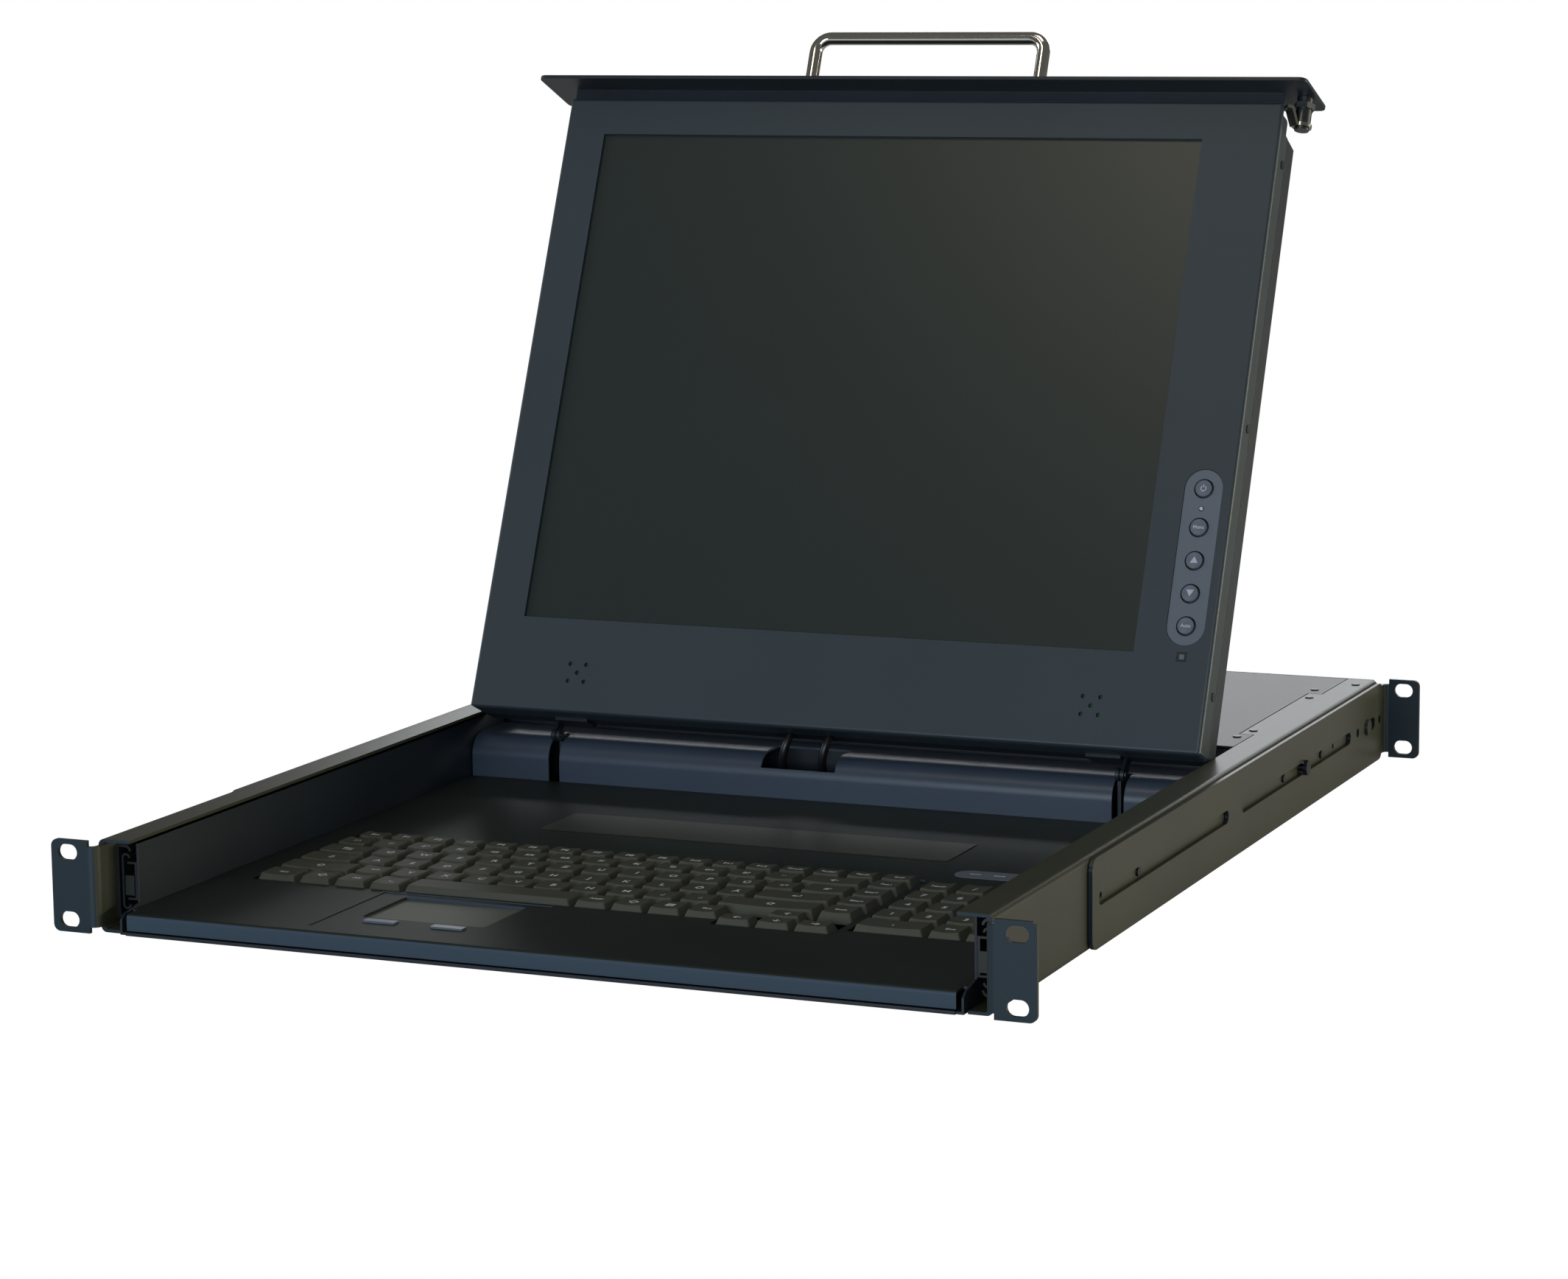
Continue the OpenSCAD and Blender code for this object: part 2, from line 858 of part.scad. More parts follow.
module screen_bezel() {
    bend = 2.2;
    color([0.24, 0.27, 0.31])
        at_screen()
            difference() {
                intersection() {
                    front_profile(0, 14)
                        rounded(-screen_x, screen_x, 0, screen_h, 2.5);
                    side_profile(-screen_x, 2 * screen_x)
                        rounded(0, 30, 0, screen_h, bend);
                    linear_extrude(height = screen_h)
                        rounded(-screen_x, screen_x, 0, 30, bend);
                }
                difference() {
                    block(1.6 - screen_x, screen_x - 1.6, 2, 15, 1.6, screen_h - 1.6);
                    lock_recess(1.2);
                }
                lock_recess(0);
                block(-179.1, 161.4, -1, 3, 50.7, 323.3);
                front_profile(-1, 4)
                    rounded(osd_x - 10.1, osd_x + 10.1, 55.2, 147, 10.05);
                block(osd_x - 2.7, osd_x + 2.7, -1, 3, 47, 51.8);
                for (s = [-1, 1]) {
                    rod_y(s * 142.8, -1, 21.7, 1.2, 4);
                    for (a = [-1, 1], b = [-1, 1])
                        rod_y(s * 142.8 + a * 4.6, -1, 21.7 + b * 4.6, 1.2, 4);
                }
            }
}

module screen_cover() {
    color([0.15, 0.17, 0.19])
        at_screen()
            difference() {
                intersection() {
                    union() {
                        front_profile(14.8, screen_t - 14.8)
                            rounded(-screen_x, screen_x, 0, screen_h, 2.5);
                        front_profile(14, 0.8)
                            rounded(0.7 - screen_x, screen_x - 0.7, 0.7, screen_h - 0.7, 2);
                    }
                    side_profile(-screen_x, 2 * screen_x)
                        rounded(0, screen_t, 0, screen_h, 2.2);
                    linear_extrude(height = screen_h)
                        rounded(-screen_x, screen_x, 0, screen_t, 2.2);
                }
                difference() {
                    block(2 - screen_x, screen_x - 2, 13, screen_t - 1.6, 2, screen_h - 2);
                    lock_recess(1.2);
                }
                lock_recess(0);
                for (i = [-8 : 8])
                    block(i * 9 - 1.5, i * 9 + 1.5, 20, 30, 60, 90);
            }
}

module display_panel() {
    color([0.2, 0.22, 0.22])
        at_screen()
            block(-182, 164.5, 2, 10, 47.5, 326.5);
}

module screen_board() {
    color([0.05, 0.35, 0.2])
        at_screen() {
            block(-130, 100, 12, 13.6, 120, 260);
            block(176, 197, 4.8, 6.2, 50, 152);
            for (x = [-80, 40])
                block(x, x + 8, 10, 12, 150, 158);
            for (s = [-1, 1])
                rod_y(s * 142.8, 2, 21.7, 9, 9);
            block(-40, 20, 13.6, 20, 180, 220);
        }
}

module osd_strip() {
    color([0.44, 0.45, 0.51])
        at_screen()
            difference() {
                union() {
                    front_profile(0.3, 1.7)
                        rounded(osd_x - 9.9, osd_x + 9.9, 55.4, 146.8, 9.85);
                    front_profile(2, 1.2)
                        rounded(osd_x - 12, osd_x + 12, 46, 149, 4);
                    block(osd_x - 2.5, osd_x + 2.5, 0.3, 2, 47.2, 51.6);
                }
                for (v = button_v)
                    rod_y(osd_x, -1, v, 5.15, 6);
                rod_y(osd_x, -1, 126.5, 1.4, 6);
            }
}

module osd_button(i) {
    color([0.5, 0.51, 0.55])
        at_screen()
            rod_y(osd_x, -0.7, button_v[i], 4.8, 4.4);
}

module power_button() {
    osd_button(0);
}

module menu_button() {
    osd_button(1);
}

module up_button() {
    osd_button(2);
}

module down_button() {
    osd_button(3);
}

module auto_button() {
    osd_button(4);
}

module hinge_arms() {
    color([0.15, 0.17, 0.19])
        at_screen()
            both_sides() {
                difference() {
                    side_profile(157.5, 1.9) {
                        translate([axis_n, axis_v])
                            circle(r = 3.4);
                        polygon([
                            [axis_n - 3.4, axis_v], [axis_n + 3.4, axis_v], [26, -1.6], [26, 0],
                            [axis_n, 0]
                        ]);
                    }
                    rod_x(150, axis_n, axis_v, 1.55, 12);
                }
                block(139, 157.5, 13, 26, -1.6, 0);
            }
}

module front_bar() {
    color([0.12, 0.15, 0.18])
        at_screen() {
            difference() {
                translate([0, 0, bar_v])
                    linear_extrude(height = 2)
                        rounded(-bar_x, bar_x, -15, screen_t, 4);
                translate([lock_x, lock_n, bar_v - 1])
                    cylinder(r = 4.3, h = 4);
            }
            block(-201, 201, 2, 4, screen_h, bar_v);
        }
}

module pull_handle() {
    reach = 33.8;
    bend = 8;
    r = 3.5;
    span = 65;
    color([0.85, 0.84, 0.8])
        at_screen()
            translate([0, 8, bar_v + 2]) {
                for (s = [0, 1])
                    mirror([s, 0, 0]) {
                        translate([span, 0, 0])
                            cylinder(r = r, h = reach - r - bend);
                        translate([span - bend, 0, reach - r - bend])
                            rotate([90, 0, 0])
                                rotate_extrude(angle = 90)
                                    translate([bend, 0])
                                        circle(r = r);
                    }
                rod_x(bend - span, 0, reach - r, r, 2 * (span - bend));
            }
}

module lock_barrel() {
    color([0.65, 0.65, 0.66])
        at_screen()
            translate([lock_x, lock_n, 0]) {
                translate([0, 0, bar_v - 14.2])
                    cylinder(r = 4.2, h = 16.2);
                translate([0, 0, bar_v - 16.6])
                    cylinder(r = 2.5, h = 2.4);
                translate([0, 0, bar_v - 17.6])
                    cylinder(r = 3.8, h = 1.2);
                translate([0, 0, bar_v + 2])
                    cylinder(r = 5.4, h = 1.4);
                translate([0, 0, bar_v - 6.4])
                    difference() {
                        cylinder(r = 5.7, h = 3, $fn = 6);
                        translate([0, 0, -1])
                            cylinder(r = 4.2, h = 5);
                    }
            }
}

module lock_cam() {
    color([0.75, 0.74, 0.7])
        at_screen()
            translate([lock_x, lock_n, bar_v])
                rotate([0, 0, lock_rest])
                    difference() {
                        union() {
                            translate([0, 0, -16.2])
                                cylinder(r = 5, h = 1.8);
                            front_profile(-3.4, 6.8)
                                polygon([
                                    [-3, -16], [-5.2, -16], [-8.6, -8.6], [-11, -8.6], [-11, -7],
                                    [-7.6, -7], [-4.4, -14.6], [-3, -14.6]
                                ]);
                        }
                        translate([0, 0, -18])
                            cylinder(r = 2.65, h = 5);
                    }
}

module screen_screws() {
    color([0.3, 0.3, 0.3])
        at_screen()
            both_sides()
                for (v = [32, 171.6, 313])
                    rod_x(screen_x, 9.5, v, 2.3, 0.45);
}

module screen_cables() {
    color([0.05, 0.05, 0.05])
        for (x = [-25, -3])
            translate([x, 366, 13])
                rotate([90, 0, 90])
                    rotate([0, 0, 134])
                        rotate_extrude(angle = 106)
                            translate([12, 0])
                                circle(r = 2.4);
}

left_outer_rail();
right_outer_rail();
bottom_pan();
top_cover();
divider_wall();
rear_panel();
switch_board();
power_supply();
power_inlet();
connector_pins();
power_switch_frame();
lan_port();
d_sub_connectors();
ps2_ports();
console_label_plate();
port_block_shield();
port_inserts();
housing_screws();
outer_slide_members();
left_rear_bracket();
right_rear_bracket();
power_rocker();
left_middle_slide();
right_middle_slide();
drawer_tray();
keyboard_deck();
hinge_beam();
hinge_brackets();
hinge_pins();
inner_slide_members();
slide_bumpers();
keyboard_base();
touchpad();
lock_led_strip();
deck_label_plate();
top_row_keys();
letter_keys();
modifier_keys();
space_bar();
navigation_keys();
numpad_keys();
left_touchpad_button();
right_touchpad_button();
screen_bezel();
screen_cover();
display_panel();
screen_board();
osd_strip();
power_button();
menu_button();
up_button();
down_button();
auto_button();
hinge_arms();
front_bar();
pull_handle();
lock_barrel();
lock_cam();
screen_screws();
screen_cables();
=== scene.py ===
"""Looks of the rack console drawer with a built-in KVM switch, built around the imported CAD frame."""

import math

import bmesh
import bpy
from mathutils import Matrix, Vector


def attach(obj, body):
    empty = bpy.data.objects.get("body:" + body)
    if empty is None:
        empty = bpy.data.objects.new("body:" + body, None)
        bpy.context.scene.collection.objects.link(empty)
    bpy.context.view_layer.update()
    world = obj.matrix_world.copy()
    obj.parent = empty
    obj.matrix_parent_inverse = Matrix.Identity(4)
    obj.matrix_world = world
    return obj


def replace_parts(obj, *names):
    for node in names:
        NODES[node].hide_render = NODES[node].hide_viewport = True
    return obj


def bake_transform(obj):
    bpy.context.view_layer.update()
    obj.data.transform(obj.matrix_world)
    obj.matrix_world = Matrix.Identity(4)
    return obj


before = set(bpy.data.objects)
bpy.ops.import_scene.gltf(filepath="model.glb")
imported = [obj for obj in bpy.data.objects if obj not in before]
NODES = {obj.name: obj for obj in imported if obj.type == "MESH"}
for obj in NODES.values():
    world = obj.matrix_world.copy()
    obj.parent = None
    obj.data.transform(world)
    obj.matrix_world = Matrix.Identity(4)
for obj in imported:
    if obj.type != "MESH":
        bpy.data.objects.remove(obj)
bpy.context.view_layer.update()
MM = 0.001


# Camera: position in metres, angles in radians, lens and sensor in millimetres

CAMERA_AT = (0.8218, -1.6140, 0.4238)
YAW, PITCH, ROLL = -0.40606, 0.16295, -0.01046
LENS = 96.706
SENSOR = 36


def make_camera():
    roll, pitch, yaw = (Matrix.Rotation(a, 3, axis) for a, axis in ((ROLL, "Y"), (PITCH, "X"), (YAW, "Z")))
    right, ahead, up = roll @ pitch @ yaw
    data = bpy.data.cameras.new("camera")
    data.lens = LENS
    data.sensor_width = SENSOR
    data.clip_start, data.clip_end = 0.05, 60
    cam = bpy.data.objects.new("camera", data)
    cam.matrix_world = Matrix.Translation(CAMERA_AT) @ Matrix((right, up, -ahead)).transposed().to_4x4()
    bpy.context.scene.collection.objects.link(cam)
    bpy.context.scene.camera = cam


make_camera()


# Materials

def lin(r, g, b):
    """A display colour of 0 to 255 as the linear value that shaders take."""
    return tuple(c / 255 / 12.92 if c <= 10 else ((c / 255 + 0.055) / 1.055) ** 2.4 for c in (r, g, b)) + (1,)


def node_of(tree, kind, **values):
    """A new shader node; each value goes to the input of that name, or else to the setting of that name."""
    n = tree.nodes.new(kind)
    for key, value in values.items():
        if key in n.inputs:
            n.inputs[key].default_value = value
        else:
            setattr(n, key, value)
    return n


def coat(name, colour, rough, metal=0.0, grain=1400, bump=0.03, cloud=9, spread=0.2, rough_spread=0.06,
         stretch=(1, 1, 1), clear=0.0, specular=0.5, hammer=0.0):
    """A finish with grain in its normal, and slow changes of colour and roughness.

    Bump is in millimetres. A hammer value makes hammered paint: its normal has dents instead of grain.
    """
    mat = bpy.data.materials.new(name)
    mat.use_nodes = True
    tree = mat.node_tree
    link = tree.links.new
    shader = tree.nodes["Principled BSDF"]
    shader.inputs["Metallic"].default_value = metal
    shader.inputs["Specular IOR Level"].default_value = specular
    if clear:
        shader.inputs["Coat Weight"].default_value = clear
        shader.inputs["Coat Roughness"].default_value = 0.12
    place = tree.nodes.new("ShaderNodeTexCoord")
    scale = node_of(tree, "ShaderNodeMapping")
    scale.inputs["Scale"].default_value = stretch
    link(place.outputs["Object"], scale.inputs["Vector"])
    slow = node_of(tree, "ShaderNodeTexNoise", Scale=cloud, Detail=5.0, Roughness=0.6)
    fine = node_of(tree, "ShaderNodeTexNoise", Scale=grain, Detail=3.0, Roughness=0.55)
    link(place.outputs["Object"], slow.inputs["Vector"])
    link(scale.outputs["Vector"], fine.inputs["Vector"])
    tint = tree.nodes.new("ShaderNodeValToRGB")
    tint.color_ramp.elements[0].position, tint.color_ramp.elements[1].position = 0.3, 0.7
    tint.color_ramp.elements[0].color = tuple(c * (1 - spread) for c in colour[:3]) + (1,)
    tint.color_ramp.elements[1].color = tuple(min(1, c * (1 + spread)) for c in colour[:3]) + (1,)
    link(slow.outputs["Fac"], tint.inputs["Fac"])
    link(tint.outputs["Color"], shader.inputs["Base Color"])
    span = node_of(tree, "ShaderNodeMapRange")
    span.inputs["To Min"].default_value = max(0.02, rough - rough_spread)
    span.inputs["To Max"].default_value = rough + rough_spread
    link(fine.outputs["Fac"], span.inputs["Value"])
    link(span.outputs["Result"], shader.inputs["Roughness"])
    raised = node_of(tree, "ShaderNodeBump", Strength=1.0, Distance=bump * MM)
    height = fine.outputs["Fac"]
    if hammer:
        cells = node_of(tree, "ShaderNodeTexVoronoi", Scale=hammer, feature="SMOOTH_F1")
        link(place.outputs["Object"], cells.inputs["Vector"])
        height = cells.outputs["Distance"]
    link(height, raised.inputs["Height"])
    link(raised.outputs["Normal"], shader.inputs["Normal"])
    return mat


# A face looks to the front where the Y of its normal is below this
FRONT_NORMAL = -0.8
# Sockets of the mix node when it mixes colours: factor, both colours, and the result
MIX_FACTOR, MIX_A, MIX_B, MIX_COLOUR = 0, 6, 7, 2


def paint_front_light(mat, colour):
    """Paints light onto the faces that look to the front, which is towards -Y: they get another colour that
    stands in for the bluish front light on them.
    """
    tree = mat.node_tree
    link = tree.links.new
    shader = tree.nodes["Principled BSDF"]
    usual = shader.inputs["Base Color"].links[0].from_socket
    facing = tree.nodes.new("ShaderNodeNewGeometry")
    split = tree.nodes.new("ShaderNodeSeparateXYZ")
    front = node_of(tree, "ShaderNodeMath", operation="LESS_THAN")
    front.inputs[1].default_value = FRONT_NORMAL
    mix = node_of(tree, "ShaderNodeMix", data_type="RGBA")
    mix.inputs[MIX_B].default_value = colour
    link(facing.outputs["True Normal"], split.inputs[0])
    link(split.outputs["Y"], front.inputs[0])
    link(front.outputs[0], mix.inputs[MIX_FACTOR])
    link(usual, mix.inputs[MIX_A])
    link(mix.outputs[MIX_COLOUR], shader.inputs["Base Color"])


NAVY = coat("navy_coat", lin(27, 34, 42), 0.42)
# Painted light: the rail is one coat. Its faces that look to the front are painted navy-blue and the rest
# olive, standing in for the bluish front light against the warm side light.
RAIL = coat("rail_coat", lin(58, 58, 44), 0.36)
paint_front_light(RAIL, lin(22, 41, 52))
COVER = coat("cover_coat", lin(44, 46, 46), 0.4)
BEZEL = coat("bezel_coat", lin(45, 55, 62), 0.45, spread=0.08)
BEAM = coat("beam_coat", lin(58, 69, 84), 0.34, spread=0.08)
# Painted highlight: the deck's faces that look to the front, its front lip, are painted a lighter blue that
# stands in for the bluish front light on them.
DECK = coat("deck_coat", lin(30, 36, 32), 0.5, bump=0.02, specular=0.3)
paint_front_light(DECK, lin(54, 70, 84))
REAR = coat("rear_coat", lin(28, 42, 66), 0.4, hammer=420, bump=0.35)
ZINC = coat("slide_zinc", lin(62, 64, 66), 0.36, metal=0.8, grain=700, stretch=(1, 0.05, 1))
CHROME = coat("handle_chrome", lin(226, 222, 212), 0.1, metal=1.0, grain=500, bump=0.004, spread=0.03,
              rough_spread=0.03)
TIN = coat("tin_plate", lin(190, 192, 194), 0.28, metal=1.0, grain=900, bump=0.01, stretch=(1, 1, 0.1))
BLACK = coat("black_plastic", lin(16, 16, 18), 0.45)
KEY = coat("key_plastic", lin(66, 66, 54), 0.55, grain=2600, bump=0.03, spread=0.08)
STRIP = coat("strip_plastic", lin(96, 103, 114), 0.38, grain=2200, bump=0.008, spread=0.05)
BUTTON = coat("button_plastic", lin(96, 102, 114), 0.36, grain=2200, bump=0.01, spread=0.05)
TOUCH = coat("touch_surface", lin(84, 87, 79), 0.5, grain=3000, bump=0.01, spread=0.05)
LABEL = coat("label_film", lin(150, 160, 192), 0.45, hammer=420, bump=0.05, spread=0.04)
PLATE = coat("dark_film", lin(48, 48, 40), 0.42, bump=0.008, spread=0.05)
PANEL = coat("panel_face", lin(38, 46, 44), 0.3, grain=4000, bump=0.006, spread=0.03, rough_spread=0.02)
BUMPER = coat("bumper_plastic", lin(32, 38, 36), 0.35, grain=800, bump=0.02, clear=0.3)
BOARD = coat("solder_mask", lin(14, 70, 42), 0.4, grain=600)
DARK_SCREW = coat("dark_screw", lin(52, 54, 56), 0.35, metal=0.8)
DARK_BARREL = coat("barrel_metal", lin(84, 86, 88), 0.3, metal=0.9)
NICKEL = coat("nickel_screw", lin(190, 188, 178), 0.22, metal=1.0, bump=0.008)
JACKET = coat("cable_jacket", lin(15, 15, 17), 0.38, grain=500)
WHITE = coat("legend_ink", lin(205, 208, 205), 0.6, grain=3000, bump=0.005, spread=0.05)
GREY = coat("faint_ink", lin(176, 182, 194), 0.6, grain=3000, bump=0.005, spread=0.05)
GREEN = coat("green_socket", lin(0, 118, 92), 0.42, bump=0.01)
PURPLE = coat("purple_socket", lin(74, 64, 140), 0.42, bump=0.01)
BLUE = coat("blue_socket", lin(48, 44, 140), 0.42, bump=0.01)
GOLD = coat("pin_metal", lin(200, 196, 176), 0.25, metal=1.0, bump=0.005)
LED = coat("led_lens", lin(190, 196, 200), 0.2, grain=800, bump=0.01, clear=0.6)

# The CAD nodes of each finish
FINISHES = {
    RAIL: "left_outer_rail right_outer_rail left_rear_bracket right_rear_bracket",
    NAVY: "bottom_pan divider_wall drawer_tray front_bar hinge_brackets hinge_arms screen_cover",
    COVER: "top_cover",
    REAR: "rear_panel",
    BEZEL: "screen_bezel",
    BEAM: "hinge_beam",
    DECK: "keyboard_deck",
    ZINC: "outer_slide_members left_middle_slide right_middle_slide inner_slide_members hinge_pins",
    CHROME: "pull_handle",
    NICKEL: "lock_cam",
    DARK_BARREL: "lock_barrel",
    TIN: "power_supply lan_port d_sub_connectors port_block_shield",
    BLACK: "power_inlet power_switch_frame power_rocker port_inserts keyboard_base ps2_ports",
    KEY: "top_row_keys letter_keys modifier_keys space_bar navigation_keys numpad_keys",
    STRIP: "osd_strip lock_led_strip",
    BUTTON: "power_button menu_button up_button down_button auto_button"
            " left_touchpad_button right_touchpad_button",
    TOUCH: "touchpad",
    LABEL: "console_label_plate",
    PLATE: "deck_label_plate",
    PANEL: "display_panel",
    BUMPER: "slide_bumpers",
    BOARD: "switch_board screen_board",
    DARK_SCREW: "housing_screws screen_screws",
    GOLD: "connector_pins",
    JACKET: "screen_cables",
}


def soften(obj, width, angle=35):
    """Rounds the sheared edges of a sheet part, as its powder coat does. The width is in millimetres."""
    weld = obj.modifiers.new("weld", "WELD")
    weld.merge_threshold = 0.000001
    flat = obj.modifiers.new("flat", "DECIMATE")
    flat.decimate_type = "DISSOLVE"
    flat.angle_limit = math.radians(0.5)
    edge = obj.modifiers.new("edge", "BEVEL")
    edge.width = width * MM
    edge.segments = 2
    edge.limit_method = "ANGLE"
    edge.angle_limit = math.radians(angle)
    even = obj.modifiers.new("even", "WEIGHTED_NORMAL")
    even.keep_sharp = False


for finish, names in FINISHES.items():
    for name in names.split():
        mesh = NODES[name].data
        mesh.materials.clear()
        mesh.materials.append(finish)

# The CAD nodes of each bevel width in millimetres
SOFT_EDGES = {
    0.5: "left_outer_rail right_outer_rail left_rear_bracket right_rear_bracket screen_bezel front_bar",
    0.35: "drawer_tray keyboard_deck hinge_beam top_cover rear_panel screen_cover power_inlet",
    0.25: "power_switch_frame power_rocker lan_port port_block_shield deck_label_plate lock_led_strip",
}
for width, names in SOFT_EDGES.items():
    for name in names.split():
        soften(NODES[name], width)


# Builders

def in_mm(point):
    return Vector(point) * MM


def level(z):
    """Places a drawing of x, y and height on a level surface at z."""
    return lambda x, y, h: in_mm((x, y, z + h))


# The screen at rest leans back from its foot, a point in millimetres
LEAN = math.radians(23.5)
SCREEN_FOOT = Vector((0, 344.2, 27.6))
ACROSS = Vector((1, 0, 0))
UP_SCREEN = Vector((0, math.sin(LEAN), math.cos(LEAN)))
INTO_SCREEN = Vector((0, math.cos(LEAN), -math.sin(LEAN)))


def on_screen(n):
    """Places a drawing of x, distance up the screen and height, n millimetres behind its face."""
    return lambda x, v, h: (SCREEN_FOOT + ACROSS * x + UP_SCREEN * v + INTO_SCREEN * (n - h)) * MM


def on_rear(y):
    """Places a drawing seen from behind: x runs to the left of the object's front view."""
    return lambda x, z, h: in_mm((-x, y + h, z))


def prism(bm, outline, low, high, place):
    """A closed plate with that outline, between two heights of the drawing."""
    foot = [bm.verts.new(place(x, y, low)) for x, y in outline]
    head = [bm.verts.new(place(x, y, high)) for x, y in outline]
    bm.faces.new(foot[::-1])
    bm.faces.new(head)
    for i, j in zip(range(len(foot)), [*range(1, len(foot)), 0]):
        bm.faces.new((foot[i], foot[j], head[j], head[i]))


def ring(bm, cx, cy, inner, outer, low, high, place, start=0.0, stop=2 * math.pi, steps=40):
    """A flat ring, or the part of one from start to stop."""
    whole = math.isclose(stop - start, 2 * math.pi)
    count = steps if whole else steps + 1
    loops = []
    for r, h in ((inner, low), (outer, low), (outer, high), (inner, high)):
        angles = [start + (stop - start) * i / steps for i in range(count)]
        loops.append([bm.verts.new(place(cx + r * math.cos(a), cy + r * math.sin(a), h)) for a in angles])
    for a, b in zip(range(4), (1, 2, 3, 0)):
        for i in range(steps):
            j = (i + 1) % count
            bm.faces.new((loops[a][i], loops[a][j], loops[b][j], loops[b][i]))
    if not whole:
        bm.faces.new([loop[0] for loop in loops])
        bm.faces.new([loop[-1] for loop in loops][::-1])


def circle(cx, cy, r, steps=32):
    return [(cx + r * math.cos(2 * math.pi * i / steps), cy + r * math.sin(2 * math.pi * i / steps))
            for i in range(steps)]


def rectangle(x0, x1, y0, y1):
    return [(x0, y0), (x1, y0), (x1, y1), (x0, y1)]


def lathe(bm, profile, place, steps=40):
    """Turns a profile of (radius, height) about the drawing's centre; a radius of 0 closes it."""
    turns = [2 * math.pi * i / steps for i in range(steps)]
    rings = []
    for r, h in profile:
        angles = turns if r else turns[:1]
        rings.append([bm.verts.new(place(r * math.cos(a), r * math.sin(a), h)) for a in angles])
    for a, b in zip(rings, rings[1:]):
        for i in range(steps):
            j = (i + 1) % steps
            corners = [a[i % len(a)], a[j % len(a)], b[j % len(b)], b[i % len(b)]]
            bm.faces.new(list(dict.fromkeys(corners)))


def finish_piece(name, bm, material, body, smooth=35):
    """Makes the drawing an object that rides a body, with shading smooth up to that angle in degrees."""
    bmesh.ops.recalc_face_normals(bm, faces=bm.faces)
    mesh = bpy.data.meshes.new(name)
    bm.to_mesh(mesh)
    bm.free()
    mesh.materials.append(material)
    if smooth:
        mesh.shade_smooth()
        mesh.set_sharp_from_angle(angle=math.radians(smooth))
    obj = bpy.data.objects.new(name, mesh)
    bpy.context.scene.collection.objects.link(obj)
    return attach(obj, body) if body else obj


def letters(bm, text, x, y, size, place, low=0.0, thick=0.05, width=1.0):
    """Raised lettering centred on x, y, from the height low up."""
    curve = bpy.data.curves.new("text", "FONT")
    curve.body = text
    curve.size = size
    curve.align_x, curve.align_y = "CENTER", "CENTER"
    curve.resolution_u = 3
    curve.offset = 0.02 * size
    curve.extrude = thick / 2
    holder = bpy.data.objects.new("text", curve)
    bpy.context.scene.collection.objects.link(holder)
    mesh = bpy.data.meshes.new_from_object(holder.evaluated_get(bpy.context.evaluated_depsgraph_get()))
    part = bmesh.new()
    part.from_mesh(mesh)
    bmesh.ops.remove_doubles(part, verts=part.verts, dist=0.0005 * size)
    for vert in part.verts:
        vert.co = place(x + vert.co.x * width, y + vert.co.y, low + thick / 2 + vert.co.z)
    part.to_mesh(mesh)
    part.free()
    bm.from_mesh(mesh)
    bpy.data.meshes.remove(mesh)
    bpy.data.objects.remove(holder)
    bpy.data.curves.remove(curve)


# Keys: each cap is rebuilt on the place of its CAD solid, with rounded edges and a dished top

def solids_of(node):
    """Lowest and highest corner of each loose solid of a CAD node, in millimetres."""
    bm = bmesh.new()
    bm.from_mesh(NODES[node].data)
    bmesh.ops.remove_doubles(bm, verts=bm.verts, dist=0.000001)
    seen, boxes = set(), []
    for first in bm.verts:
        if first in seen:
            continue
        seen.add(first)
        heap, found = [first], []
        while heap:
            vert = heap.pop()
            found.append(vert.co.copy())
            for edge in vert.link_edges:
                other = edge.other_vert(vert)
                if other not in seen:
                    seen.add(other)
                    heap.append(other)
        boxes.append(tuple([f(p[k] for p in found) / MM for k in range(3)] for f in (min, max)))
    bm.free()
    return boxes


# Sizes of a cap in millimetres: height and inset of its top, inset and drop of its rim, radii of its
# corners, depth of the hollow in its top, and how far the keys of one row may differ in depth
KEY_TOP = -9.0
TOP_INSET = 2.2
RIM_INSET, RIM_DROP = 1.95, 0.3
FOOT_R, RIM_R, TOP_R = 0.7, 1.0, 0.9
DISH = 0.5
SAME_ROW = 4


def dip(x, cx, half, depth):
    """How far a top hollowed from side to side lies below its rim."""
    return depth * max(0.0, 1 - ((x - cx) / half) ** 2)


def half_outline(w, d, r, columns):
    """Points of the far half of a rounded rectangle, from left to right."""
    turns = [math.radians(90 * i / 4) for i in range(5)]
    left = [(-w + r - r * math.cos(t), d - r + r * math.sin(t)) for t in turns]
    flat = [(-w + r + 2 * (w - r) * i / columns, d) for i in range(1, columns)]
    return left + flat + [(-x, y) for x, y in left[::-1]]


def key_cap(bm, low, high, depth):
    """A moulded cap: straight flanks that lean in, a rounded rim, and a top hollowed from side to side."""
    cx, cy = (low[0] + high[0]) / 2, (low[1] + high[1]) / 2
    w, d = (high[0] - low[0]) / 2, (high[1] - low[1]) / 2
    columns = max(6, int(w * 0.8))
    rim = KEY_TOP - RIM_DROP
    levels = [(0, low[2], FOOT_R), (RIM_INSET, rim, RIM_R), (TOP_INSET, KEY_TOP, TOP_R)]
    loops = []
    for inset, z, r in levels:
        far = half_outline(w - inset, d - inset, r, columns)
        row = []
        for side in (1, -1):
            sags = [dip(x, 0, w - TOP_INSET, depth) if z >= rim else 0 for x, y in far]
            points = [in_mm((cx + x, cy + side * y, z - sag)) for (x, y), sag in zip(far, sags)]
            row.append([bm.verts.new(point) for point in points])
        loops.append(row)
    count = len(loops[0][0])
    for (far_a, near_a), (far_b, near_b) in zip(loops, loops[1:]):
        for i in range(count - 1):
            bm.faces.new((far_a[i], far_a[i + 1], far_b[i + 1], far_b[i]))
            bm.faces.new((near_a[i], near_a[i + 1], near_b[i + 1], near_b[i]))
        for i in (0, count - 1):
            bm.faces.new((near_a[i], far_a[i], far_b[i], near_b[i]))
    for far, near in (loops[0], loops[-1]):
        for i in range(count - 1):
            bm.faces.new((near[i], near[i + 1], far[i + 1], far[i]))


